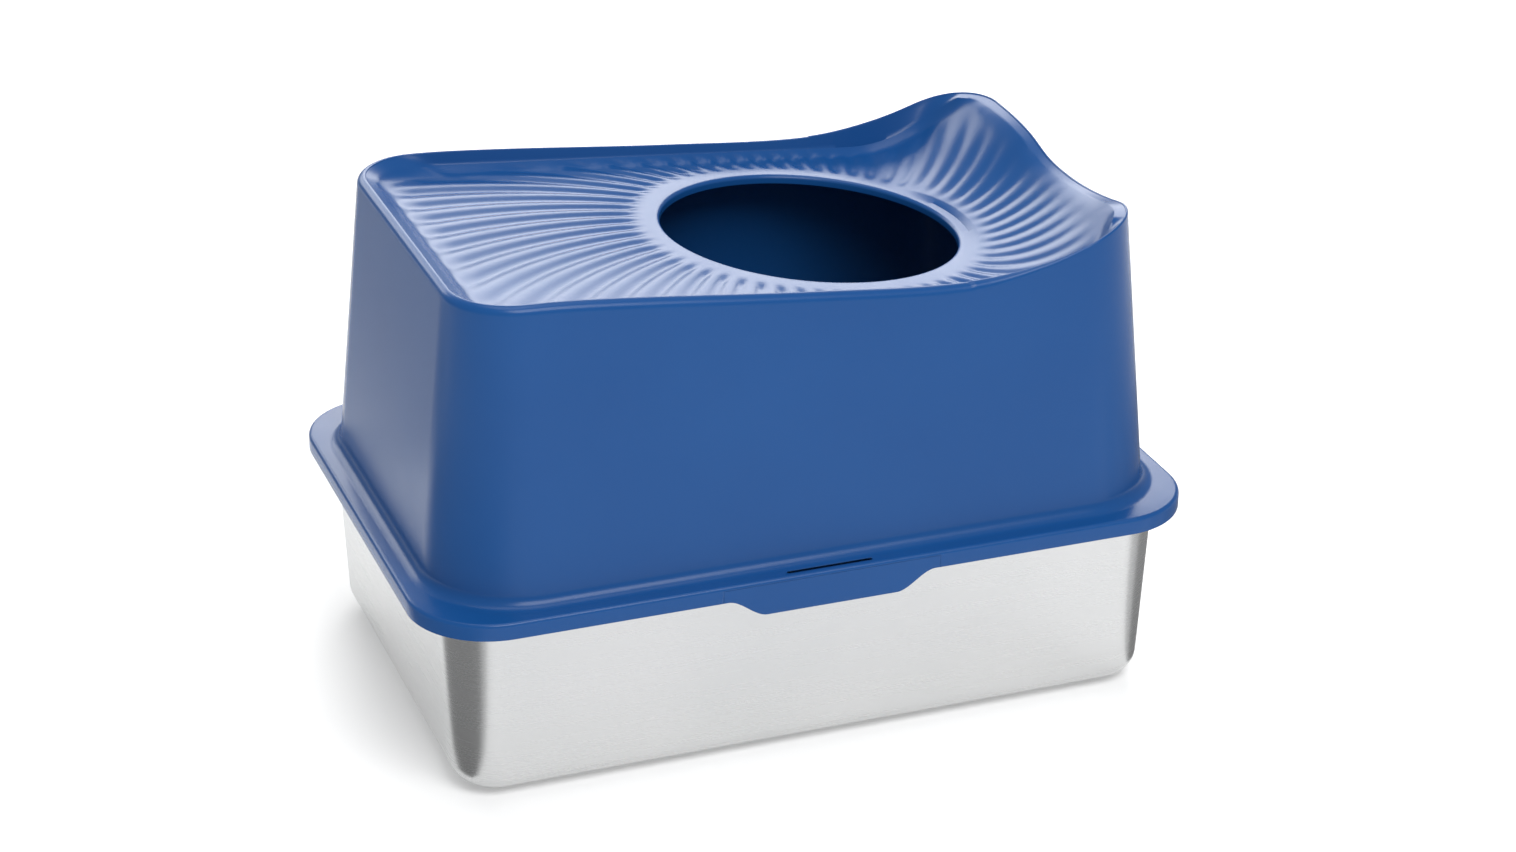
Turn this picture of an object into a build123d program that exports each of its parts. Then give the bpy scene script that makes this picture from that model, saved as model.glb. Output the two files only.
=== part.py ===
from build123d import *

import math
import os

# Cat litter box with a lift-off top-entry hood, millimetres.
# Origin: on the floor under the middle of the box. +X along the length towards the raised
# corners of the hood, -Y towards the front catch, +Z up.

# ---- driving dimensions --------------------------------------------------------------
LENGTH = 600.0              # over the hood's flange
WIDTH = 400.0
FLANGE_CORNER = 62.0        # plan radius of the flange corners

FOOT_HEIGHT = 3.0
FOOT_RADIUS = 11.0
FOOT_SPACING_X = 450.0
FOOT_SPACING_Y = 256.0

PAN_BASE_LENGTH = 544.6     # where the drafted walls would meet the floor of the pan
PAN_BASE_WIDTH = 349.8
PAN_BASE_CORNER = 33.5
PAN_DRAFT = 2.6             # degrees
PAN_HEIGHT = 151.0
PAN_BOTTOM_RADIUS = 18.5
PAN_SHEET = 0.9
PAN_RIM_LIP = 5.5           # height of the turned-down edge

SKIRT_DROP = 10.0           # upright part of the flange's edge
FLANGE_EDGE_RADIUS = 3.0
FLANGE_THICKNESS = 2.4
SKIRT_WALL = 2.2
SEAT_GAP = 0.3              # hood to pan, and pan rim to skirt bead

WALL_OVERHANG = 18.5        # flange outside the hood's wall
WALL_CORNER = 72.0          # plan radius at the foot of the wall
WALL_DRAFT = 5.72           # degrees
WALL_THICKNESS = 2.6
WALL_FOOT_RADIUS = 10.0

LEFT_RIM = 372.0            # rim heights above the underside of the pan
LOW_RIM = 343.8
EAR_RIM = 375.0
DIP_RIM = 358.0             # middle of the right end, between the two raised corners
LOW_RIM_X = 118.0
RIM_WIDTH = 6.5

HOLE_X = 57.0
HOLE_RADIUS = 112.0
HOLE_HEIGHT = 335.2         # top of the dish at the hole's middle, above the underside of the pan
HOLE_SLOPE = -0.088         # the hole's plane falls towards +X by this share
LIP_RADIUS = 14.0           # plain ring round the hole
COLLAR_DEPTH = 9.0
DISH_THICKNESS = 2.6
DISH_DEPTH_LEFT = 16.0      # how far the dish starts below the rim
DISH_DEPTH_RIGHT = 8.0

TAB_TOP = 166.0             # width of the catch where it leaves the skirt
TAB_BOTTOM = 104.0
TAB_DROP = 14.5
TAB_CORNER = 14.0
TAB_GAP = 0.5
BEAD_REACH = 0.5
BEAD_HEIGHT = 2.2
SLOT_LENGTH = 66.0
SLOT_WIDTH = 3.4
SLOT_Y = 193.0

# ---- levels worked out from them -----------------------------------------------------
BASE = FOOT_HEIGHT
PAN_TOP = BASE + PAN_HEIGHT
FLANGE_UNDER = PAN_TOP + SEAT_GAP
FLANGE_TOP = FLANGE_UNDER + FLANGE_THICKNESS
SKIRT_BOTTOM = FLANGE_TOP - FLANGE_EDGE_RADIUS - SKIRT_DROP
CATCH_TOP = FLANGE_TOP - FLANGE_EDGE_RADIUS - TAB_GAP
HALF_LENGTH = LENGTH / 2
HALF_WIDTH = WIDTH / 2
WALL_SLOPE = math.tan(math.radians(WALL_DRAFT))
BLANK_TOP = BASE + EAR_RIM + 12.0


def wall_half_sizes(height, inset):
    """Half length, half width and corner radius of the hood's wall at a height."""
    pull = WALL_OVERHANG + WALL_SLOPE * (height - FLANGE_TOP) + inset
    corner = WALL_CORNER - (pull - WALL_OVERHANG)
    return HALF_LENGTH - pull, HALF_WIDTH - pull, corner


def rim_points():
    """Side view of the rim: level at the left, low past the hole, raised at the right."""
    return [
        (-HALF_LENGTH, BASE + LEFT_RIM + 0.5),
        (-HALF_LENGTH * 0.68, BASE + LEFT_RIM),
        (0.0, BASE + LEFT_RIM - 19.7),
        (LOW_RIM_X, BASE + LOW_RIM),
        (HALF_LENGTH * 0.68, BASE + LOW_RIM + 13.7),
        (HALF_LENGTH * 0.87, BASE + EAR_RIM),
        (HALF_LENGTH, BASE + EAR_RIM + 8.0),
    ]


def side_rim(x):
    """Height of the rim above a place along the length, between the points above."""
    points = rim_points()
    for (x0, z0), (x1, z1) in zip(points, points[1:]):
        if x <= x1:
            share = (x - x0) / (x1 - x0)
            return z0 + (z1 - z0) * share
    return points[-1][1]


def end_rim(y):
    """Height of the right end's rim: a dip between the two raised corners."""
    share = min(abs(y) / (HALF_WIDTH - WALL_CORNER - WALL_OVERHANG), 1.0)
    return BASE + DIP_RIM + (EAR_RIM - DIP_RIM) * math.sin(share * math.pi / 2) ** 2


def dish_edge(x, y):
    """Height where the dish leaves the inner wall."""
    share = (x + HALF_LENGTH) / LENGTH
    depth = DISH_DEPTH_LEFT + (DISH_DEPTH_RIGHT - DISH_DEPTH_LEFT) * share
    rim = side_rim(x)
    if x > LOW_RIM_X:
        rim = min(rim, end_rim(y))
    return rim - depth


def hole_plane_height(x):
    """Height of the sloping plane that the entry hole is cut in."""
    return BASE + HOLE_HEIGHT + HOLE_SLOPE * (x - HOLE_X)


def dish_height(x, y):
    """Upper surface of the dish: in the hole's plane near the hole, bending to its edge."""
    reach = math.hypot(x - HOLE_X, y)
    flat = HOLE_RADIUS + LIP_RADIUS
    if reach <= flat:
        return hole_plane_height(x)
    half_x, half_y, _ = wall_half_sizes(BASE + HOLE_HEIGHT, RIM_WIDTH)
    side = half_x - HOLE_X if x > HOLE_X else half_x + HOLE_X
    outward = max(abs(x - HOLE_X) / side, abs(y) / half_y)
    edge_reach = reach / outward
    share = (reach - flat) / max(edge_reach - flat, 1.0)
    blend = min(share, 1.0)
    blend = blend * blend * (3 - 2 * blend)
    edge_x = HOLE_X + (x - HOLE_X) / outward
    bend = dish_edge(edge_x, y / outward) - hole_plane_height(edge_x)
    return hole_plane_height(x) + bend * blend


def dish_face(lower_by):
    """The dish as one smooth surface over the whole plan."""
    columns = 31
    rows = 21
    grid = []
    for i in range(columns):
        x = -HALF_LENGTH + LENGTH * i / (columns - 1)
        line = []
        for j in range(rows):
            y = -HALF_WIDTH + WIDTH * j / (rows - 1)
            line.append(Vector(x, y, dish_height(x, y) - lower_by))
        grid.append(line)
    return Face.make_surface_from_array_of_points(grid, tol=0.3)


def finish(part, name):
    part.label = name
    export_step(part, f"parts/{name}.step")


os.makedirs("parts", exist_ok=True)

# ---- steel pan: one deep-drawn sheet with a flange and a turned-down edge --------------
rim_inset = SKIRT_WALL + 2 * SEAT_GAP + BEAD_REACH
rim_size = (LENGTH - 2 * rim_inset, WIDTH - 2 * rim_inset, FLANGE_CORNER - rim_inset)

with BuildPart() as pan_inside:
    with BuildSketch(Plane.XY.offset(BASE + PAN_SHEET)):
        RectangleRounded(
            PAN_BASE_LENGTH - 2 * PAN_SHEET,
            PAN_BASE_WIDTH - 2 * PAN_SHEET,
            PAN_BASE_CORNER - PAN_SHEET,
        )
    extrude(amount=PAN_HEIGHT, taper=-PAN_DRAFT)
    fillet(pan_inside.edges().group_by(Axis.Z)[0], radius=PAN_BOTTOM_RADIUS - PAN_SHEET)

with BuildPart() as steel_pan:
    with BuildSketch(Plane.XY.offset(BASE)):
        RectangleRounded(PAN_BASE_LENGTH, PAN_BASE_WIDTH, PAN_BASE_CORNER)
    extrude(amount=PAN_HEIGHT, taper=-PAN_DRAFT)
    fillet(steel_pan.edges().group_by(Axis.Z)[0], radius=PAN_BOTTOM_RADIUS)
    with BuildSketch(Plane.XY.offset(PAN_TOP - PAN_SHEET)):
        RectangleRounded(*rim_size)
    extrude(amount=PAN_SHEET)
    with BuildSketch(Plane.XY.offset(PAN_TOP - PAN_RIM_LIP)):
        RectangleRounded(*rim_size)
        offset(amount=-PAN_SHEET, mode=Mode.SUBTRACT)
    extrude(amount=PAN_RIM_LIP)
    add(pan_inside.part, mode=Mode.SUBTRACT)
finish(steel_pan.part, "steel_pan")

# ---- tool bodies for the hood ---------------------------------------------------------
# space above the dish, inside the rim
POCKET_DRAFT = 5.0
POCKET_FLOOR = BASE + HOLE_HEIGHT - 18.0
pocket_length, pocket_width, pocket_corner = wall_half_sizes(BASE + LOW_RIM, RIM_WIDTH + 2.0)

with BuildPart() as pocket:
    with BuildSketch(Plane.XY.offset(POCKET_FLOOR)):
        RectangleRounded(2 * pocket_length, 2 * pocket_width, pocket_corner)
    extrude(amount=BLANK_TOP - POCKET_FLOOR, taper=-POCKET_DRAFT)
    extrude(dish_face(0.0), amount=BLANK_TOP, dir=(0, 0, 1), mode=Mode.INTERSECT)

# space under the dish, inside the walls
cavity_length, cavity_width, cavity_corner = wall_half_sizes(FLANGE_UNDER, WALL_THICKNESS)

with BuildPart() as cavity:
    with BuildSketch(Plane.XY.offset(FLANGE_UNDER)):
        RectangleRounded(2 * cavity_length, 2 * cavity_width, cavity_corner)
    extrude(amount=BLANK_TOP - FLANGE_UNDER, taper=WALL_DRAFT)
    extrude(dish_face(DISH_THICKNESS), amount=BLANK_TOP, dir=(0, 0, -1), mode=Mode.INTERSECT)

# ---- hood: one moulding --------------------------------------------------------------
wall_length, wall_width, _ = wall_half_sizes(FLANGE_TOP, 0.0)
hole_plane = Plane(
    origin=(HOLE_X, 0, BASE + HOLE_HEIGHT),
    x_dir=(1, 0, HOLE_SLOPE),
    z_dir=(-HOLE_SLOPE, 0, 1),
)

with BuildPart() as hood:
    # flange with its rounded edge and upright skirt
    with BuildSketch(Plane.XY.offset(SKIRT_BOTTOM)):
        RectangleRounded(LENGTH, WIDTH, FLANGE_CORNER)
    extrude(amount=FLANGE_TOP - SKIRT_BOTTOM)
    fillet(hood.edges().group_by(Axis.Z)[-1], radius=FLANGE_EDGE_RADIUS)
    with BuildSketch(Plane.XY.offset(SKIRT_BOTTOM)):
        RectangleRounded(
            LENGTH - 2 * SKIRT_WALL, WIDTH - 2 * SKIRT_WALL, FLANGE_CORNER - SKIRT_WALL
        )
    extrude(amount=FLANGE_UNDER - SKIRT_BOTTOM, mode=Mode.SUBTRACT)

    # drafted walls
    with BuildSketch(Plane.XY.offset(FLANGE_TOP)):
        RectangleRounded(2 * wall_length, 2 * wall_width, WALL_CORNER)
    extrude(amount=BLANK_TOP - FLANGE_TOP, taper=WALL_DRAFT)
    wall_foot = (
        hood.edges()
        .filter_by_position(Axis.Z, FLANGE_TOP - 0.01, FLANGE_TOP + 0.01)
        .filter_by(lambda e: abs(e.center().Y) < wall_width + 1)
        .filter_by(lambda e: abs(e.center().X) < wall_length + 1)
        .filter_by(lambda e: abs(e.center().X) + abs(e.center().Y) < wall_length + wall_width - 25)
    )
    fillet(wall_foot, radius=WALL_FOOT_RADIUS)

    # rim: its side view, then the dip in the right end
    with BuildSketch(Plane.XZ):
        with BuildLine():
            Spline(*rim_points())
            Line((HALF_LENGTH, rim_points()[-1][1]), (HALF_LENGTH, BLANK_TOP + 10))
            Line((HALF_LENGTH, BLANK_TOP + 10), (-HALF_LENGTH, BLANK_TOP + 10))
            Line((-HALF_LENGTH, BLANK_TOP + 10), (-HALF_LENGTH, rim_points()[0][1]))
        make_face()
    extrude(amount=HALF_WIDTH, both=True, mode=Mode.SUBTRACT)
    with BuildSketch(Plane.YZ.offset(LOW_RIM_X + 60.0)):
        with BuildLine():
            Spline(*[(y, end_rim(y)) for y in (-110, -80, -40, 0, 40, 80, 110)])
            Line((110, end_rim(110)), (0, BLANK_TOP + 20))
            Line((0, BLANK_TOP + 20), (-110, end_rim(110)))
        make_face()
    extrude(amount=HALF_LENGTH, mode=Mode.SUBTRACT)

    # hollow out from above and below, then the entry hole with its turned-down collar
    add(pocket.part, mode=Mode.SUBTRACT)
    add(cavity.part, mode=Mode.SUBTRACT)
    with BuildSketch(hole_plane.offset(-COLLAR_DEPTH)):
        Circle(HOLE_RADIUS + DISH_THICKNESS)
    extrude(amount=COLLAR_DEPTH)
    with BuildSketch(hole_plane.offset(-2 * COLLAR_DEPTH)):
        Circle(HOLE_RADIUS)
    extrude(amount=3 * COLLAR_DEPTH, mode=Mode.SUBTRACT)

    # room for the two catches, and the slot behind each
    with BuildSketch(Plane.XY.offset(SKIRT_BOTTOM)):
        Rectangle(TAB_TOP + 2 * TAB_GAP, WIDTH)
    extrude(amount=CATCH_TOP + TAB_GAP - SKIRT_BOTTOM, mode=Mode.SUBTRACT)
    with BuildSketch(Plane.XY.offset(FLANGE_UNDER)):
        with Locations((0, -SLOT_Y), (0, SLOT_Y)):
            SlotOverall(SLOT_LENGTH, SLOT_WIDTH)
    extrude(amount=FLANGE_THICKNESS, mode=Mode.SUBTRACT)
finish(hood.part, "hood")

# ---- catches: a finger tab with a bead that snaps under the pan's rim ----------------
with BuildPart() as front_catch:
    with BuildSketch(Plane.XZ.offset(HALF_WIDTH - SKIRT_WALL)):
        with BuildLine():
            outline = FilletPolyline(
                (TAB_TOP / 2, CATCH_TOP),
                (TAB_TOP / 2, SKIRT_BOTTOM),
                (TAB_TOP / 2 - 9.0, SKIRT_BOTTOM),
                (TAB_BOTTOM / 2, SKIRT_BOTTOM - TAB_DROP),
                (0, SKIRT_BOTTOM - TAB_DROP),
                radius=[0.3, 8.0, TAB_CORNER],
            )
            mirror(outline, about=Plane.YZ)
            Line((TAB_TOP / 2, CATCH_TOP), (-TAB_TOP / 2, CATCH_TOP))
        make_face()
    extrude(amount=SKIRT_WALL)
    with BuildSketch(Plane.XZ.offset(HALF_WIDTH - SKIRT_WALL - BEAD_REACH)):
        with Locations((0, PAN_TOP - PAN_RIM_LIP - SEAT_GAP - BEAD_HEIGHT / 2)):
            Rectangle(SLOT_LENGTH, BEAD_HEIGHT)
    extrude(amount=BEAD_REACH)
finish(front_catch.part, "front_catch")

with BuildPart() as rear_catch:
    mirror(front_catch.part, about=Plane.XZ)
finish(rear_catch.part, "rear_catch")

# ---- feet: four rubber pads stuck under the pan --------------------------------------
foot_names = {
    "foot_front_left": (-1, -1),
    "foot_front_right": (1, -1),
    "foot_rear_left": (-1, 1),
    "foot_rear_right": (1, 1),
}
for foot_name, (side_x, side_y) in foot_names.items():
    with BuildPart() as foot:
        with BuildSketch(Plane.XY):
            with Locations((side_x * FOOT_SPACING_X / 2, side_y * FOOT_SPACING_Y / 2)):
                Circle(FOOT_RADIUS)
        extrude(amount=FOOT_HEIGHT)
        chamfer(foot.edges().group_by(Axis.Z)[0], length=0.6)
    finish(foot.part, foot_name)
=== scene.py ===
import math

import bmesh
import bpy
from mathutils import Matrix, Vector


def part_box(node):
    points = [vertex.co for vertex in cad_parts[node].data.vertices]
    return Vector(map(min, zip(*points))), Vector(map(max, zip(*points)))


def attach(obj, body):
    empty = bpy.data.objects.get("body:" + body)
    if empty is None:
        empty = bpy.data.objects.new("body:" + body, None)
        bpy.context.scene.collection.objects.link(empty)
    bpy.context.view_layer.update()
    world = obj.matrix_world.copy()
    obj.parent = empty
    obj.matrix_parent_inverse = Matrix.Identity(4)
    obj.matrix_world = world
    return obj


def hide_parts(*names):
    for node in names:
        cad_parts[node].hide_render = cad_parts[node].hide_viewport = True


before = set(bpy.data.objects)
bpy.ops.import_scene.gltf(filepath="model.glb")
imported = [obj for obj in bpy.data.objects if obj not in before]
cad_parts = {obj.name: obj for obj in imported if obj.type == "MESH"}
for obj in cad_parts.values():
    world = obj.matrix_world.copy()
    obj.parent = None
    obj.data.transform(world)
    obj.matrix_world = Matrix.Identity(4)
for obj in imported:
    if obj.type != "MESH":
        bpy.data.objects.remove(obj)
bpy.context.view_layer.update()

# Sizes are in millimetres until a mesh is made; the frame itself is in metres.
MM = 0.001
HOOD_LOW, HOOD_HIGH = [[c / MM for c in corner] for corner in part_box("hood")]
PAN_LOW, PAN_HIGH = [[c / MM for c in corner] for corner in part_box("steel_pan")]
FEET = ("foot_front_left", "foot_front_right", "foot_rear_left", "foot_rear_right")

HALF_LENGTH = HOOD_HIGH[0]
HALF_WIDTH = HOOD_HIGH[1]
BASE = PAN_LOW[2]
PAN_TOP = PAN_HIGH[2]
SKIRT_BOTTOM = HOOD_LOW[2]


# ---- scene, camera, light --------------------------------------------------------------
scene = bpy.context.scene
scene.view_settings.view_transform = "Standard"
scene.view_settings.look = "None"

VIEW_TURN = math.radians(-19.72)
VIEW_RISE = math.radians(25.25)
VIEW_DISTANCE = 2.5871
VIEW_TARGET = Vector((-0.03688, 0.0, 0.185))
back = Vector((
    math.sin(VIEW_TURN) * math.cos(VIEW_RISE),
    -math.cos(VIEW_TURN) * math.cos(VIEW_RISE),
    math.sin(VIEW_RISE),
))
lens = bpy.data.cameras.new("camera")
lens.sensor_width = 36.0
lens.lens = 80.84
lens.shift_x = 0.0442
lens.shift_y = 0.0022
lens.clip_end = 60.0
camera = bpy.data.objects.new("camera", lens)
camera.location = VIEW_TARGET + back * VIEW_DISTANCE
camera.rotation_euler = (-back).to_track_quat("-Z", "Y").to_euler()
scene.collection.objects.link(camera)
scene.camera = camera

world = bpy.data.worlds.new("studio")
scene.world = world
world.use_nodes = True
world.node_tree.nodes["Background"].inputs["Color"].default_value = (0.97, 0.985, 1.0, 1.0)
world.node_tree.nodes["Background"].inputs["Strength"].default_value = 0.38


def softbox(name, turn, rise, distance, width, height, power):
    """An area light aimed at the object; turn is 0 behind it and 180 in front of it."""
    lamp = bpy.data.lights.new(name, "AREA")
    lamp.shape = "RECTANGLE"
    lamp.size = width
    lamp.size_y = height
    lamp.energy = power
    holder = bpy.data.objects.new(name, lamp)
    a, e = math.radians(turn), math.radians(rise)
    out = Vector((math.sin(a) * math.cos(e), math.cos(a) * math.cos(e), math.sin(e)))
    holder.location = Vector((0.0, 0.0, 0.25)) + out * distance
    holder.rotation_euler = (-out).to_track_quat("-Z", "Y").to_euler()
    scene.collection.objects.link(holder)


# turn, rise, distance, width, height, power
softbox("back_softbox", 19.0, 23.0, 3.2, 2.3, 1.2, 40.0)
softbox("back_top_softbox", 35.0, 44.0, 3.2, 1.3, 1.3, 6.0)
softbox("top_softbox", 0.0, 85.0, 3.2, 2.0, 2.0, 27.0)
softbox("front_softbox", 176.0, 50.0, 3.2, 1.9, 1.6, 61.0)
softbox("back_left_softbox", -17.0, 22.0, 3.3, 1.4, 1.0, 18.0)


# ---- materials --------------------------------------------------------------------------
def new_material(name, colour, roughness, metallic=0.0):
    made = bpy.data.materials.new(name)
    made.use_nodes = True
    shader = made.node_tree.nodes["Principled BSDF"]
    shader.inputs["Base Color"].default_value = (*colour, 1.0)
    shader.inputs["Roughness"].default_value = roughness
    shader.inputs["Metallic"].default_value = metallic
    return made, made.node_tree.nodes, made.node_tree.links, shader


def noise(nodes, links, space, scale, detail, stretch=(1.0, 1.0, 1.0)):
    """Noise in object coordinates, which are metres, stretched if asked."""
    mapping = nodes.new("ShaderNodeMapping")
    mapping.inputs["Scale"].default_value = stretch
    links.new(space.outputs["Object"], mapping.inputs["Vector"])
    made = nodes.new("ShaderNodeTexNoise")
    made.inputs["Scale"].default_value = scale
    made.inputs["Detail"].default_value = detail
    links.new(mapping.outputs["Vector"], made.inputs["Vector"])
    return made


def spread(nodes, links, source, low, high):
    """Turns noise from about 0.3-0.7 into low-high."""
    made = nodes.new("ShaderNodeMapRange")
    made.inputs["From Min"].default_value = 0.3
    made.inputs["From Max"].default_value = 0.7
    made.inputs["To Min"].default_value = low
    made.inputs["To Max"].default_value = high
    links.new(source, made.inputs["Value"])
    return made.outputs["Result"]


def tint(nodes, links, factor, dark, light):
    made = nodes.new("ShaderNodeMix")
    made.data_type = "RGBA"
    made.inputs["A"].default_value = (*dark, 1.0)
    made.inputs["B"].default_value = (*light, 1.0)
    links.new(factor, made.inputs["Factor"])
    return made.outputs["Result"]


def bump(nodes, links, shader, height, strength, distance):
    made = nodes.new("ShaderNodeBump")
    made.inputs["Strength"].default_value = strength
    made.inputs["Distance"].default_value = distance
    links.new(height, made.inputs["Height"])
    links.new(made.outputs["Normal"], shader.inputs["Normal"])


def plastic_material():
    """Blue moulded plastic: a soft gloss, slight flow variation and a very fine skin."""
    made, nodes, links, shader = new_material("hood_plastic", (0.008, 0.074, 0.260), 0.3)
    shader.inputs["IOR"].default_value = 1.5
    shader.inputs["Specular IOR Level"].default_value = 0.27
    space = nodes.new("ShaderNodeTexCoord")
    flow = noise(nodes, links, space, 7.0, 3.0)
    links.new(
        tint(nodes, links, spread(nodes, links, flow.outputs["Fac"], 0.0, 1.0),
             (0.0074, 0.071, 0.253), (0.0086, 0.077, 0.267)),
        shader.inputs["Base Color"],
    )
    wear = noise(nodes, links, space, 30.0, 4.0)
    links.new(spread(nodes, links, wear.outputs["Fac"], 0.24, 0.27), shader.inputs["Roughness"])
    skin = noise(nodes, links, space, 900.0, 2.0)
    bump(nodes, links, shader, skin.outputs["Fac"], 0.05, 0.0004)
    return made


def steel_material():
    """Drawn stainless sheet: satin, with faint marks running round the pan."""
    made, nodes, links, shader = new_material("pan_steel", (0.65, 0.65, 0.65), 0.3, 1.0)
    space = nodes.new("ShaderNodeTexCoord")
    tone = noise(nodes, links, space, 9.0, 3.0)
    links.new(
        tint(nodes, links, spread(nodes, links, tone.outputs["Fac"], 0.0, 1.0),
             (0.605, 0.61, 0.61), (0.635, 0.635, 0.635)),
        shader.inputs["Base Color"],
    )
    grain = noise(nodes, links, space, 60.0, 5.0, (0.12, 0.12, 14.0))
    links.new(spread(nodes, links, grain.outputs["Fac"], 0.262, 0.278), shader.inputs["Roughness"])
    bump(nodes, links, shader, grain.outputs["Fac"], 0.004, 0.0002)
    return made


def rubber_material():
    made, nodes, links, shader = new_material("foot_rubber", (0.035, 0.035, 0.038), 0.8)
    space = nodes.new("ShaderNodeTexCoord")
    grain = noise(nodes, links, space, 1400.0, 3.0)
    links.new(
        tint(nodes, links, spread(nodes, links, grain.outputs["Fac"], 0.0, 1.0),
             (0.028, 0.028, 0.031), (0.050, 0.050, 0.053)),
        shader.inputs["Base Color"],
    )
    bump(nodes, links, shader, grain.outputs["Fac"], 0.3, 0.0003)
    return made


def floor_material():
    made, nodes, links, shader = new_material("floor", (0.93, 0.93, 0.93), 0.6)
    space = nodes.new("ShaderNodeTexCoord")
    cloud = noise(nodes, links, space, 2.0, 2.0)
    links.new(
        tint(nodes, links, spread(nodes, links, cloud.outputs["Fac"], 0.0, 1.0),
             (0.925, 0.925, 0.925), (0.94, 0.94, 0.94)),
        shader.inputs["Base Color"],
    )
    shader.inputs["Emission Color"].default_value = (1.0, 1.0, 1.0, 1.0)
    shader.inputs["Emission Strength"].default_value = 0.2
    return made


def card_material(name, grey):
    return new_material(name, (grey, grey, grey), 0.9)[0]


PLASTIC = plastic_material()
STEEL = steel_material()
RUBBER = rubber_material()
FLOOR = floor_material()
DARK_CARD = card_material("dark_card", 0.25)
GREY_CARD = card_material("grey_card", 0.42)
PALE_CARD = card_material("pale_card", 0.58)


# ---- mesh helpers -----------------------------------------------------------------------
def add_piece(name, mesh, material, sharp_angle=35.0):
    """Links a mesh as an object, smooth except across edges sharper than the angle."""
    work = bmesh.new()
    work.from_mesh(mesh)
    bmesh.ops.remove_doubles(work, verts=work.verts, dist=1e-7)
    bmesh.ops.recalc_face_normals(work, faces=work.faces)
    limit = math.radians(sharp_angle)
    for edge in work.edges:
        edge.smooth = len(edge.link_faces) == 2 and edge.calc_face_angle(0.0) < limit
    for face in work.faces:
        face.smooth = True
    work.to_mesh(mesh)
    work.free()
    made = bpy.data.objects.new(name, mesh)
    made.data.materials.append(material)
    scene.collection.objects.link(made)
    return made


def loops_mesh(name, loops, joined=False, caps=False):
    """Quads between rings of points; joined closes the last ring on the first."""
    count = len(loops[0])
    points = [tuple(c * MM for c in point) for loop in loops for point in loop]
    faces = []
    rows = len(loops)
    for row in range(rows if joined else rows - 1):
        after = (row + 1) % rows
        for k in range(count):
            step = (k + 1) % count
            faces.append((row * count + k, row * count + step, after * count + step, after * count + k))
    if caps:
        faces.append(tuple(range(count - 1, -1, -1)))
        faces.append(tuple((rows - 1) * count + k for k in range(count)))
    mesh = bpy.data.meshes.new(name)
    mesh.from_pydata(points, [], faces)
    return mesh


def smooth_through(points, x):
    """A smooth curve through (x, value) points."""
    if x <= points[0][0]:
        return points[0][1]
    for k in range(len(points) - 1):
        if x <= points[k + 1][0]:
            (x0, v0), (x1, v1) = points[k], points[k + 1]
            xa, va = points[k - 1] if k > 0 else (2 * x0 - x1, v0)
            xb, vb = points[k + 2] if k + 2 < len(points) else (2 * x1 - x0, v1)
            m0 = (v1 - va) / (x1 - xa) * (x1 - x0)
            m1 = (vb - v0) / (xb - x0) * (x1 - x0)
            t = (x - x0) / (x1 - x0)
            return ((2 * t**3 - 3 * t**2 + 1) * v0 + (t**3 - 2 * t**2 + t) * m0
                    + (3 * t**2 - 2 * t**3) * v1 + (t**3 - t**2) * m1)
    return points[-1][1]


def ease(share):
    share = max(0.0, min(1.0, share))
    return share * share * (3.0 - 2.0 * share)


# ---- hood ---------------------------------------------------------------------------------
EDGE_RADIUS = 3.0           # round edge of the flange
EDGE_BASE_RADIUS = 0.7      # round lower edge of the skirt and the catches
FLANGE_TOP = SKIRT_BOTTOM + 13.0
FLANGE_UNDER = FLANGE_TOP - 2.4
SKIRT_WALL = 2.2
FLANGE_CORNER = 62.0
WALL_OVERHANG = 18.5
WALL_CORNER = 72.0
WALL_DRAFT = math.radians(5.72)
WALL_THICKNESS = 2.6
FOOT_FILLET = 10.0

LIP_WIDTH = 7.0             # rim, from the outer wall to the inner one
LIP_WIDTH_RAISED = 2.0      # the same round the raised end
LIP_INNER_ROUND = 0.8       # its crisp inner edge; the rest is a round outer shoulder

HOLE_X = 57.0
HOLE_RADIUS = 112.0
HOLE_LEVEL = BASE + 335.2
HOLE_SLOPE = -0.088
RING_RADIUS = 126.0
HOLE_ROLL = 3.2             # round edge of the hole
COLLAR = 6.5                # depth of the hole's short wall
DISH_THICKNESS = 2.6

RIB_COUNT = 60
RIB_HEIGHT = 1.8
RIB_TWIST = math.radians(0.0955)    # per millimetre of radius
RIB_START = math.radians(2.8)
RIB_START_RADIUS = 135.0
RIB_FULL_RADIUS = 142.0     # full height from here outwards
RIB_VALLEY_POWER = 1.25     # above 1, the valleys are narrower than the crests
RIB_FADE = 6.0              # length of a rib's outer end
RIB_LONG_FADE = 28.0        # the same at the left and at the raised end
RIB_RAISED_SHARE = 0.4      # height of the ribs on the raised end

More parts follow.
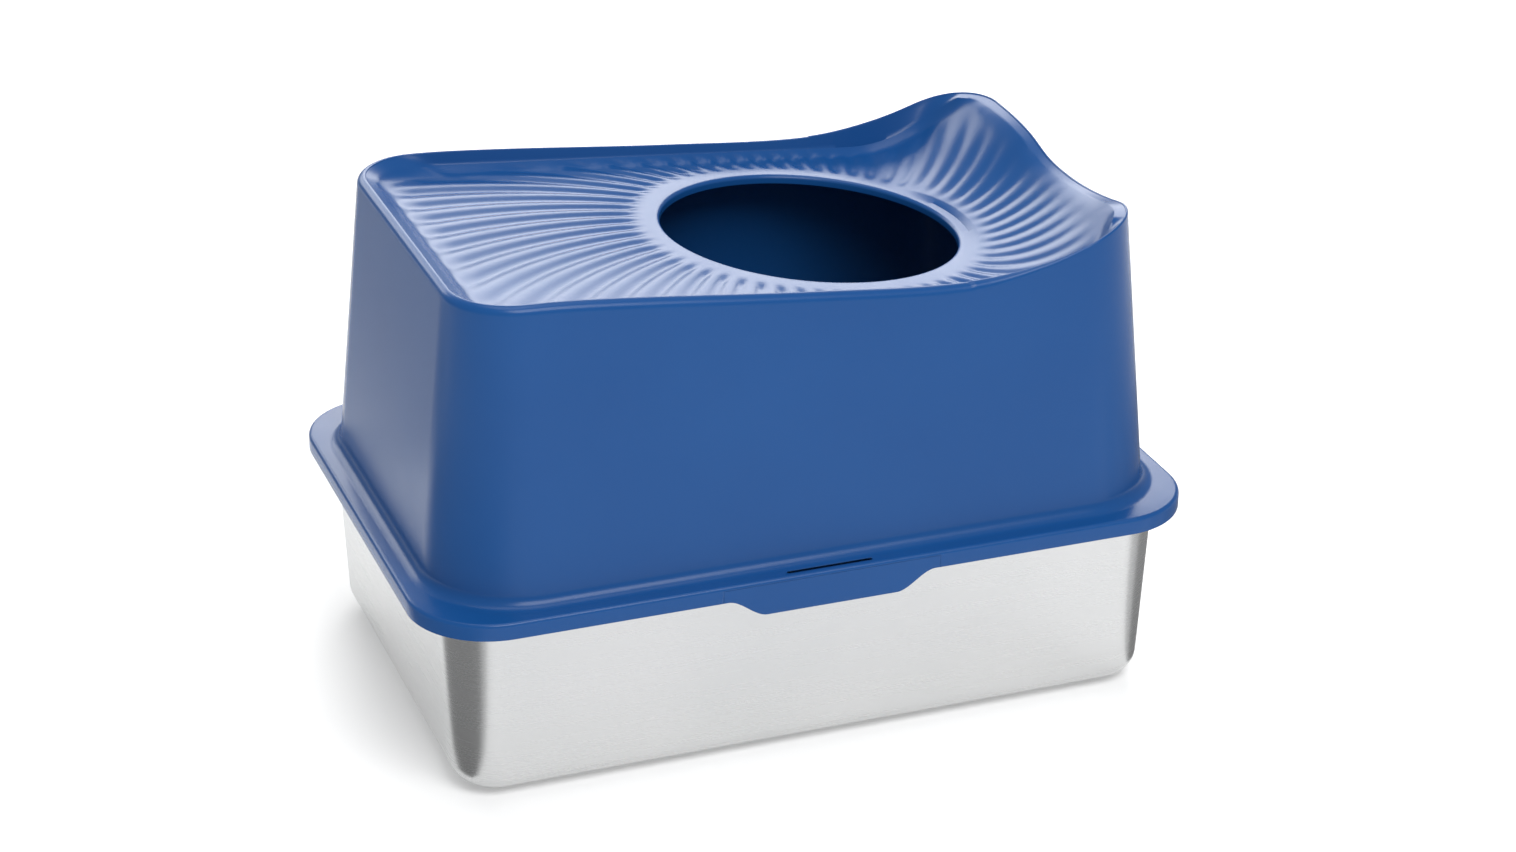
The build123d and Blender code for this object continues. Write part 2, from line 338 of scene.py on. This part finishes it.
# The rim, above the pan's underside: along the long sides by x, and along the raised end by y,
# where a dip lies between the near corner and the far one
LEFT_RIM = 372.0
LOW_RIM = 343.8
LOW_RIM_X = 118.0
RIGHT_RIM = 376.0
DIP_RIM = 356.8
NEAR_CORNER_RIM = 373.5
FAR_CORNER_RIM = 378.0
SIDE_RIM = (
    (-HALF_LENGTH, LEFT_RIM), (-215.0, LEFT_RIM), (-150.0, LEFT_RIM - 4.5), (0.0, LEFT_RIM - 19.5),
    (LOW_RIM_X, LOW_RIM), (180.0, LOW_RIM + 6.7), (245.0, RIGHT_RIM - 5.5), (275.0, RIGHT_RIM),
)
END_RIM = (
    (-140.0, NEAR_CORNER_RIM), (-120.0, NEAR_CORNER_RIM - 2.0), (-90.0, NEAR_CORNER_RIM - 9.0),
    (-55.0, DIP_RIM + 2.2), (-20.0, DIP_RIM), (15.0, DIP_RIM + 2.0), (50.0, DIP_RIM + 12.0),
    (90.0, FAR_CORNER_RIM - 2.4), (140.0, FAR_CORNER_RIM),
)
END_START = 120.0           # the end's line counts from here
CORNER_BLEND = 4.0          # how softly the side's line gives way to it

TURNS = 720                 # directions round the hole's axis
directions = [(math.cos(2 * math.pi * k / TURNS), math.sin(2 * math.pi * k / TURNS)) for k in range(TURNS)]


def reach(direction, half_x, half_y, corner):
    """Distance from the hole's axis to a rounded rectangle, in one direction."""
    dx, dy = direction
    if abs(dy) > 1e-9:
        far = half_y / abs(dy)
        if abs(HOLE_X + far * dx) <= half_x - corner:
            return far
    if abs(dx) > 1e-9:
        far = (half_x - HOLE_X) / dx if dx > 0 else (half_x + HOLE_X) / -dx
        if abs(far * dy) <= half_y - corner:
            return far
    from_x = HOLE_X - math.copysign(half_x - corner, dx)
    from_y = -math.copysign(half_y - corner, dy)
    along = from_x * dx + from_y * dy
    return -along + math.sqrt(max(along * along - from_x**2 - from_y**2 + corner * corner, 0.0))


def at_distance(direction, far, height):
    return HOLE_X + far * direction[0], far * direction[1], height


def flange_reach(direction, inset):
    """Distance to the flange's outline, or to a line inset from it."""
    return reach(direction, HALF_LENGTH - inset, HALF_WIDTH - inset, FLANGE_CORNER - inset)


def wall_reach(direction, height, inset=0.0):
    """Distance to the drafted wall at a height, or to a line inset from it."""
    pull = WALL_OVERHANG + math.tan(WALL_DRAFT) * (height - FLANGE_TOP) + inset
    corner = WALL_CORNER + WALL_OVERHANG - pull
    return reach(direction, HALF_LENGTH - pull, HALF_WIDTH - pull, corner)


def rim_height(x, y):
    """The lower of the side's line and the end's line, blended where they meet."""
    side = smooth_through(SIDE_RIM, x)
    if x < END_START:
        return BASE + side
    gap = (smooth_through(END_RIM, y) - side) / CORNER_BLEND
    if abs(gap) > 20.0:
        return BASE + side + min(gap, 0.0) * CORNER_BLEND
    return BASE + side - CORNER_BLEND * (math.log(1.0 + math.exp(-gap)) - 0.15)


def rim_top(direction):
    """Distance and height where one direction meets the top of the outer wall."""
    height = BASE + 355.0
    for _ in range(8):
        far = wall_reach(direction, height)
        height = rim_height(HOLE_X + far * direction[0], far * direction[1])
    return far, height


def hole_plane(x):
    return HOLE_LEVEL + HOLE_SLOPE * (x - HOLE_X)


# The dish, from the ring round the hole out to the rim's inner wall
RAMP_START = 150.0          # it climbs the raised end from here
RAMP_END = 248.0
RAMP_POWER = 2.2
RAMP_BELOW_RIM = 2.5
EDGE_FILLET = 11.0
LEAN_BASE = 1.0             # how far the inner wall leans in: everywhere,
LEAN_PER_DEPTH = 0.16       # for each millimetre that the dish lies below the rim
LEAN_DEPTH_START = 10.0     # past this depth,
LEAN_LEFT = 6.5             # and at the left end


def lip_width(x):
    """Width of the rim, which thins towards the raised end."""
    return LIP_WIDTH - (LIP_WIDTH - LIP_WIDTH_RAISED) * ease((x - 100.0) / 110.0)


def ramp(x, y):
    """How far the dish rises above the hole's plane towards the raised end."""
    share = (x - RAMP_START) / (RAMP_END - RAMP_START)
    if share <= 0:
        return 0.0
    top = BASE + smooth_through(END_RIM, y) - RAMP_BELOW_RIM
    return (top - hole_plane(RAMP_END)) * share ** RAMP_POWER


def lean(direction, far, top):
    """How far the inner wall leans in on its way down: most at the left end."""
    x = HOLE_X + far * direction[0]
    deep = max(top - hole_plane(x) - LEAN_DEPTH_START, 0.0)
    return LEAN_BASE + LEAN_PER_DEPTH * deep + LEAN_LEFT * ease((-205.0 - x) / 30.0)


# for each direction: distance and height of the top of the outer wall, and the rim's width
rims = []
for direction in directions:
    far, top = rim_top(direction)
    rims.append((far, top, lip_width(HOLE_X + far * direction[0])))

# for each direction: distance and height where the dish meets the inner wall, and how square
# the direction is to that wall
inner_edges = []
for direction, (far, top, lip) in zip(directions, rims):
    edge_far = wall_reach(direction, top, lip + lean(direction, far, top))
    edge_x = HOLE_X + edge_far * direction[0]
    edge_y = edge_far * direction[1]
    level = hole_plane(edge_x) + ramp(edge_x, edge_y) + EDGE_FILLET * 0.45
    per_inset = wall_reach(direction, top, lip) - wall_reach(direction, top, lip + 1.0)
    inner_edges.append((edge_far, min(level, top - 2.0), 1.0 / per_inset))


def rib(direction_index, far, from_edge):
    """Height of the swirl ribs: broad crests with narrower valleys between."""
    angle = 2 * math.pi * direction_index / TURNS
    phase = RIB_COUNT * (angle - RIB_START - RIB_TWIST * (far - RIB_START_RADIUS))
    wave = 0.5 - 0.5 * math.cos(phase)
    x = HOLE_X + far * math.cos(angle)
    left, raised = ease((-120.0 - x) / 80.0), ease((x - 120.0) / 60.0)
    height = RIB_HEIGHT * ease((far - RING_RADIUS) / (RIB_FULL_RADIUS - RING_RADIUS))
    height *= 1.0 - (1.0 - RIB_RAISED_SHARE) * raised
    height *= ease(from_edge / (RIB_FADE + (RIB_LONG_FADE - RIB_FADE) * (left + raised)))
    return -height * wave ** RIB_VALLEY_POWER


def dish_height(direction_index, far):
    direction = directions[direction_index]
    x = HOLE_X + far * direction[0]
    y = far * direction[1]
    edge_far, edge_level, squareness = inner_edges[direction_index]
    from_edge = (edge_far - far) * squareness
    edge_x = HOLE_X + edge_far * direction[0]
    edge_y = edge_far * direction[1]
    rise = edge_level - hole_plane(edge_x) - ramp(edge_x, edge_y)
    bend = max(0.0, 1.0 - from_edge / EDGE_FILLET) ** 2
    return hole_plane(x) + ramp(x, y) + rise * bend + rib(direction_index, far, from_edge)


def hood_loops():
    loops = []

    def level_loop(inset, height):
        loops.append([at_distance(d, flange_reach(d, inset), height) for d in directions])

    # skirt, from the inside of its lower edge round to the top of the flange
    for turn in (0, 30, 60, 90):
        a = math.radians(turn)
        level_loop(EDGE_BASE_RADIUS * (1 - math.sin(a)), SKIRT_BOTTOM + EDGE_BASE_RADIUS * (1 - math.cos(a)))
    level_loop(0.0, SKIRT_BOTTOM + 5.0)
    for turn in range(0, 91, 15):
        a = math.radians(turn)
        level_loop(EDGE_RADIUS * (1 - math.cos(a)), FLANGE_TOP - EDGE_RADIUS * (1 - math.sin(a)))

    # concave fillet up to the drafted wall
    open_angle = (math.pi / 2 + WALL_DRAFT) / 2
    centre_inset = WALL_OVERHANG - FOOT_FILLET / math.tan(open_angle)
    turns = 9
    for k in range(turns + 1):
        a = (math.pi / 2 - WALL_DRAFT) * k / turns
        inset = centre_inset + FOOT_FILLET * math.sin(a)
        height = FLANGE_TOP + FOOT_FILLET * (1 - math.cos(a))
        corner = WALL_CORNER + WALL_OVERHANG - inset
        loops.append([
            at_distance(d, reach(d, HALF_LENGTH - inset, HALF_WIDTH - inset, corner), height)
            for d in directions
        ])
    foot = loops[-1][0][2]

    # wall
    rows = 9
    for k in range(1, rows + 1):
        share = k / rows
        loop = []
        for d, (far, top, lip) in zip(directions, rims):
            height = foot + (top - (lip - LIP_INNER_ROUND) - foot) * share
            loop.append(at_distance(d, wall_reach(d, height), height))
        loops.append(loop)

    # rim lip: a broad outer shoulder and a crisp inner edge
    for turn in (12, 24, 36, 48, 60, 72, 82, 90):
        a = math.radians(turn)
        loop = []
        for d, (far, top, lip) in zip(directions, rims):
            shoulder = lip - LIP_INNER_ROUND
            loop.append(at_distance(d, wall_reach(d, top - shoulder, shoulder * (1 - math.cos(a))),
                                    top - shoulder * (1 - math.sin(a))))
        loops.append(loop)
    for turn in (0, 30, 60):
        a = math.radians(turn)
        loop = []
        for d, (far, top, lip) in zip(directions, rims):
            inset = lip - LIP_INNER_ROUND * (1 - math.sin(a))
            loop.append(at_distance(d, wall_reach(d, top - lip + LIP_INNER_ROUND, inset),
                                    top - LIP_INNER_ROUND * (1 - math.cos(a))))
        loops.append(loop)

    # inner wall down to the dish
    rows = 4
    for k in range(rows):
        share = k / rows
        loop = []
        for d, (far, top, lip), (edge_far, level, _) in zip(directions, rims, inner_edges):
            start_far = wall_reach(d, top - lip + LIP_INNER_ROUND, lip)
            start = top - LIP_INNER_ROUND
            loop.append(at_distance(d, start_far + (edge_far - start_far) * share,
                                    start + (level - start) * share))
        loops.append(loop)

    # dish with its ribs, as far as the plain ring round the hole
    rows = 46
    for k in range(rows + 1):
        share = (k / rows) ** 1.35
        loop = []
        for index, d in enumerate(directions):
            edge_far = inner_edges[index][0]
            far = edge_far + (RING_RADIUS - edge_far) * share
            loop.append(at_distance(d, far, dish_height(index, far)))
        loops.append(loop)

    # plain ring, rolled lip and collar of the entry hole
    def hole_loop(radius, drop):
        loops.append([
            at_distance(d, radius, hole_plane(HOLE_X + radius * d[0]) - drop) for d in directions
        ])

    hole_loop(122.0, 0.0)
    for turn in range(0, 91, 15):
        a = math.radians(turn)
        hole_loop(HOLE_RADIUS + HOLE_ROLL * (1 - math.sin(a)), HOLE_ROLL * (1 - math.cos(a)))
    hole_loop(HOLE_RADIUS, COLLAR)
    hole_loop(HOLE_RADIUS + DISH_THICKNESS, COLLAR)
    hole_loop(HOLE_RADIUS + DISH_THICKNESS, HOLE_ROLL + 1.0)
    hole_loop(HOLE_RADIUS + DISH_THICKNESS + 3.0, HOLE_ROLL - 0.5)
    hole_loop(RING_RADIUS, DISH_THICKNESS + 0.8)

    # underside of the dish, inside of the walls, underside of the flange, inside of the skirt
    rows = 12
    for k in range(1, rows + 1):
        share = k / rows
        loop = []
        for index, d in enumerate(directions):
            inside = wall_reach(d, inner_edges[index][1] - 12.0, WALL_THICKNESS)
            far = RING_RADIUS + (inside - RING_RADIUS) * share
            x, y = HOLE_X + far * d[0], far * d[1]
            level = hole_plane(x) + ramp(x, y) - DISH_THICKNESS - 2.2
            loop.append(at_distance(d, far, min(level, rims[index][1] - 9.0)))
        loops.append(loop)
    under = loops[-1]
    rows = 6
    for k in range(1, rows + 1):
        share = k / rows
        loop = []
        for index, d in enumerate(directions):
            height = under[index][2] + (FLANGE_UNDER - under[index][2]) * share
            loop.append(at_distance(d, wall_reach(d, height, WALL_THICKNESS), height))
        loops.append(loop)
    level_loop(SKIRT_WALL + 0.8, FLANGE_UNDER)
    level_loop(SKIRT_WALL + 0.2, FLANGE_UNDER - 0.3)
    level_loop(SKIRT_WALL, FLANGE_UNDER - 1.0)
    for turn in (90, 45, 0):
        a = math.radians(turn)
        level_loop(SKIRT_WALL - EDGE_BASE_RADIUS * (1 - math.sin(a)),
                   SKIRT_BOTTOM + EDGE_BASE_RADIUS * (1 - math.cos(a)))
    return loops


hood = add_piece("hood_shell", loops_mesh("hood_shell", hood_loops(), joined=True), PLASTIC)


# openings that the catches and slots need
CATCH_TOP = FLANGE_TOP - EDGE_RADIUS
CATCH_HALF = 83.5
CATCH_ROOM = 0.6            # behind the catch
SLOT_HALF = 33.0
SLOT_Y = 193.0
SLOT_HALF_WIDTH = 1.7
SLOT_LEAN = 1.25            # its sides run inwards on the way down


def rounded_slot(name, centre_y):
    ring = []
    for side in (1, -1):
        for turn in range(0, 181, 15):
            a = math.radians(turn - 90)
            ring.append((side * (SLOT_HALF - SLOT_HALF_WIDTH + SLOT_HALF_WIDTH * math.cos(a)),
                         centre_y + side * SLOT_HALF_WIDTH * math.sin(a)))
    slant = math.copysign(SLOT_LEAN, centre_y)
    loops = [[(x, y + slant * rise, FLANGE_TOP + rise) for x, y in ring] for rise in (-6.0, 6.0)]
    return add_piece(name, loops_mesh(name, loops, caps=True), PLASTIC)


def block(name, low, high):
    loops = [
        [(low[0], low[1], z), (high[0], low[1], z), (high[0], high[1], z), (low[0], high[1], z)]
        for z in (low[2], high[2])
    ]
    return add_piece(name, loops_mesh(name, loops, caps=True), PLASTIC)


def cut(piece, tool):
    modifier = piece.modifiers.new("cut", "BOOLEAN")
    modifier.operation = "DIFFERENCE"
    modifier.solver = "EXACT"
    modifier.object = tool
    depsgraph = bpy.context.evaluated_depsgraph_get()
    mesh = bpy.data.meshes.new_from_object(piece.evaluated_get(depsgraph))
    piece.modifiers.clear()
    piece.data = mesh
    bpy.data.objects.remove(tool)


for side in (-1, 1):
    low_y, high_y = sorted((side * (HALF_WIDTH + 1.0), side * (HALF_WIDTH - SKIRT_WALL - CATCH_ROOM)))
    cut(hood, block("tool", (-CATCH_HALF, low_y, SKIRT_BOTTOM - 5.0), (CATCH_HALF, high_y, CATCH_TOP)))
    cut(hood, rounded_slot("tool", side * SLOT_Y))
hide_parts("hood")
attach(hood, "hood")


# ---- catches ------------------------------------------------------------------------------
TAB_SHOULDER = 80.0
TAB_HALF = 50.0
TAB_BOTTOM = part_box("front_catch")[0][2] / MM
BEAD_HALF = 33.0
BEAD_REACH = 0.5
BEAD_TOP = PAN_TOP - 5.8    # just below the turned-down edge of the pan's rim
CATCH_END_GAP = 0.1         # hairlines between the catch and the hood
CATCH_OUTER_GAP = 0.19
CATCH_INNER_GAP = 0.04


def catch_bottom(x):
    """Lower edge of the catch: the skirt's line, then a soft S down to the finger tab."""
    share = (TAB_SHOULDER - abs(x)) / (TAB_SHOULDER - TAB_HALF)
    return SKIRT_BOTTOM + (TAB_BOTTOM - SKIRT_BOTTOM) * ease(share)


def catch_mesh(name, side):
    half = CATCH_HALF - CATCH_END_GAP
    stations = [-half + 2 * half * k / 120 for k in range(121)]
    inner = HALF_WIDTH - SKIRT_WALL
    r = EDGE_BASE_RADIUS
    loops = []
    for x in stations:
        bottom = catch_bottom(x)
        bead = inner - BEAD_REACH * ease((BEAD_HALF - abs(x)) / 3.0 + 0.5)
        bead_side = inner + (bead - inner) * 0.7
        section = [
            (HALF_WIDTH, CATCH_TOP - CATCH_OUTER_GAP), (HALF_WIDTH, CATCH_TOP - 4.0),
            (HALF_WIDTH, bottom + 4.0), (HALF_WIDTH, bottom + r),
            (HALF_WIDTH - r * 0.3, bottom + r * 0.3), (HALF_WIDTH - r, bottom),
            (inner + r, bottom), (inner + r * 0.3, bottom + r * 0.3), (inner, bottom + r),
            (inner, min(bottom + 3.0, BEAD_TOP - 3.2)), (inner, BEAD_TOP - 2.2),
            (bead_side, BEAD_TOP - 1.8), (bead, BEAD_TOP - 1.1), (bead_side, BEAD_TOP - 0.4),
            (inner, BEAD_TOP), (inner, CATCH_TOP - CATCH_INNER_GAP),
        ]
        loops.append([(x, side * y, z) for y, z in section])
    return loops_mesh(name, loops, caps=True)


for name, side in (("front_catch", -1), ("rear_catch", 1)):
    catch = add_piece(name + "_tab", catch_mesh(name + "_tab", side), PLASTIC)
    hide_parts(name)
    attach(catch, name)


# ---- steel pan ------------------------------------------------------------------------------
PAN_BASE = (272.3, 174.9)
PAN_BASE_CORNER = 33.5
PAN_DRAFT = math.radians(2.6)
PAN_BOTTOM_RADIUS = 18.5
PAN_SHEET = 0.9
PAN_RIM_HALF = (PAN_HIGH[0], PAN_HIGH[1])
PAN_RIM_CORNER = 58.7
PAN_BEND = 3.0              # where the wall turns out to the rim
PAN_CURL = 2.4              # radius of the rolled edge
STEPS_X, STEPS_Y, STEPS_ARC = 24, 16, 18    # points along each side and corner of a ring


def ring_points(half_x, half_y, corner, height):
    """A rounded rectangle with the same number of points in every ring."""
    centres = ((1, -1), (1, 1), (-1, 1), (-1, -1))
    points = []
    for k, (sx, sy) in enumerate(centres):
        cx, cy = sx * (half_x - corner), sy * (half_y - corner)
        start = -90 + 90 * k
        for j in range(STEPS_ARC + 1):
            a = math.radians(start + 90 * j / STEPS_ARC)
            points.append((cx + corner * math.cos(a), cy + corner * math.sin(a), height))
        nx, ny = centres[(k + 1) % 4]
        next_cx, next_cy = nx * (half_x - corner), ny * (half_y - corner)
        a = math.radians(start + 90)
        x0, y0 = cx + corner * math.cos(a), cy + corner * math.sin(a)
        x1, y1 = next_cx + corner * math.cos(a), next_cy + corner * math.sin(a)
        steps = STEPS_Y if k % 2 == 0 else STEPS_X
        for j in range(1, steps):
            points.append((x0 + (x1 - x0) * j / steps, y0 + (y1 - y0) * j / steps, height))
    return points


def pan_ring(grow, height):
    """A ring that is grow outside the foot of the pan's wall."""
    return ring_points(PAN_BASE[0] + grow, PAN_BASE[1] + grow, max(PAN_BASE_CORNER + grow, 3.0), height)


def pan_side(skin):
    """Rings of one face of the sheet, from near the middle of the floor to the rim bend."""
    rings = []
    radius = PAN_BOTTOM_RADIUS - skin
    lean_out = math.tan(PAN_DRAFT)
    turn_end = math.pi / 2 - PAN_DRAFT
    centre_z = BASE + PAN_BOTTOM_RADIUS
    centre_grow = lean_out * PAN_BOTTOM_RADIUS - PAN_BOTTOM_RADIUS / math.cos(PAN_DRAFT)
    for grow in (-170.0, -150.0, -110.0, -70.0, -40.0):
        rings.append(pan_ring(grow, BASE + skin))
    for k in range(9):
        a = turn_end * k / 8
        rings.append(pan_ring(centre_grow + radius * math.sin(a), centre_z - radius * math.cos(a)))
    start_z = rings[-1][0][2]
    end_z = PAN_TOP - skin - PAN_BEND
    start_grow = centre_grow + radius * math.sin(turn_end)
    for k in range(1, 9):
        z = start_z + (end_z - start_z) * k / 8
        rings.append(pan_ring(start_grow + lean_out * (z - start_z), z))
    return rings, start_grow + lean_out * (end_z - start_z)


def pan_mesh(name):
    outer, outer_grow = pan_side(0.0)
    inner, inner_grow = pan_side(PAN_SHEET)
    loops = list(outer)

    def rim_ring(inset, height):
        return ring_points(PAN_RIM_HALF[0] - inset, PAN_RIM_HALF[1] - inset, PAN_RIM_CORNER - inset, height)

    # underside of the rim, the rolled edge, then back along the top and down the inside
    top = PAN_TOP - PAN_SHEET
    for turn in (30, 60, 90):
        a = math.radians(turn)
        loops.append(pan_ring(outer_grow + PAN_BEND * (1 - math.cos(a)), top - PAN_BEND * (1 - math.sin(a))))
    loops.append(rim_ring(2 * PAN_CURL + 0.8, top))
    centre_inset = PAN_CURL
    centre_z = PAN_TOP - PAN_CURL
    inner_curl = PAN_CURL - PAN_SHEET
    for turn in (100, 60, 20, -20, -60, -100, -140, -180):
        a = math.radians(turn)
        loops.append(rim_ring(centre_inset - inner_curl * math.cos(a), centre_z + inner_curl * math.sin(a)))
    for turn in range(-180, 91, 22):
        a = math.radians(turn)
        loops.append(rim_ring(centre_inset - PAN_CURL * math.cos(a), centre_z + PAN_CURL * math.sin(a)))
    loops.append(rim_ring(2 * PAN_CURL, PAN_TOP))
    for turn in (90, 60, 30):
        a = math.radians(turn)
        bend = PAN_BEND + PAN_SHEET
        loops.append(pan_ring(inner_grow + bend * (1 - math.cos(a)), PAN_TOP - bend * (1 - math.sin(a))))
    loops += list(reversed(inner))
    return loops_mesh(name, loops, caps=True)


pan = add_piece("pan_shell", pan_mesh("pan_shell"), STEEL, 50.0)
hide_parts("steel_pan")
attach(pan, "pan")


# ---- rubber feet ----------------------------------------------------------------------------
# shares of the foot's radius and height: a cupped underside, a soft bead and a thin top edge
FOOT_PROFILE = (
    (0.35, 0.55), (0.52, 0.5), (0.60, 0.25), (0.66, 0.03), (0.74, 0.0), (0.88, 0.05),
    (0.96, 0.2), (0.985, 0.45), (0.985, 0.78), (1.0, 0.86), (1.0, 1.0),
)

for foot_name in FEET:
    low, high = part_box(foot_name)
    cx, cy = (low[0] + high[0]) / 2 / MM, (low[1] + high[1]) / 2 / MM
    radius, tall = (high[0] - low[0]) / 2 / MM, (high[2] - low[2]) / MM
    loops = []
    for share, up in FOOT_PROFILE:
        loops.append([
            (cx + radius * share * math.cos(math.radians(turn)),
             cy + radius * share * math.sin(math.radians(turn)), tall * up)
            for turn in range(0, 360, 6)
        ])
    foot = add_piece(foot_name + "_pad", loops_mesh(foot_name + "_pad", loops, caps=True), RUBBER, 60.0)
    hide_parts(foot_name)
    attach(foot, "pan")


# ---- floor and cards --------------------------------------------------------------------------
floor_mesh = bpy.data.meshes.new("floor")
floor_mesh.from_pydata([(-12, -12, 0), (12, -12, 0), (12, 12, 0), (-12, 12, 0)], [], [(0, 1, 2, 3)])
floor = bpy.data.objects.new("floor", floor_mesh)
floor_mesh.materials.append(FLOOR)
scene.collection.objects.link(floor)


def reflection_card(name, outline, material, height):
    """A studio card lying beside the object, seen only in glossy reflections."""
    mesh = bpy.data.meshes.new(name)
    mesh.from_pydata([(x, y, height) for x, y in outline], [], [tuple(range(len(outline)))])
    mesh.materials.append(material)
    card = bpy.data.objects.new(name, mesh)
    scene.collection.objects.link(card)
    card.visible_camera = False
    card.visible_diffuse = False
    card.visible_shadow = False
    card.visible_transmission = False


def fan(corner, first_turn, last_turn, far):
    """The outline of a slice of a disc round a corner of the pan."""
    outline = [corner]
    for k in range(7):
        a = math.radians(first_turn + (last_turn - first_turn) * k / 6)
        outline.append((corner[0] + far * math.cos(a), corner[1] + far * math.sin(a)))
    return outline


LEFT_CORNER, RIGHT_CORNER = (-0.275, -0.165), (0.275, -0.165)
BEHIND_LEFT = [(-1.1, 0.45), (-0.45, 0.45), (-0.45, 1.6), (-1.1, 1.6)]
LOW_CARD, MIDDLE_CARD, TOP_CARD = 0.001, 0.0015, 0.002
reflection_card("left_grey_card", fan(LEFT_CORNER, 122.0, 250.0, 0.9), PALE_CARD, LOW_CARD)
reflection_card("left_dark_card", fan(LEFT_CORNER, 130.0, 236.0, 0.8), DARK_CARD, TOP_CARD)
reflection_card("right_grey_card", fan(RIGHT_CORNER, -40.0, 70.0, 0.9), PALE_CARD, LOW_CARD)
reflection_card("right_dark_card", fan(RIGHT_CORNER, -12.0, 62.0, 0.6), DARK_CARD, TOP_CARD)
reflection_card("back_left_card", BEHIND_LEFT, GREY_CARD, MIDDLE_CARD)

bpy.context.view_layer.update()
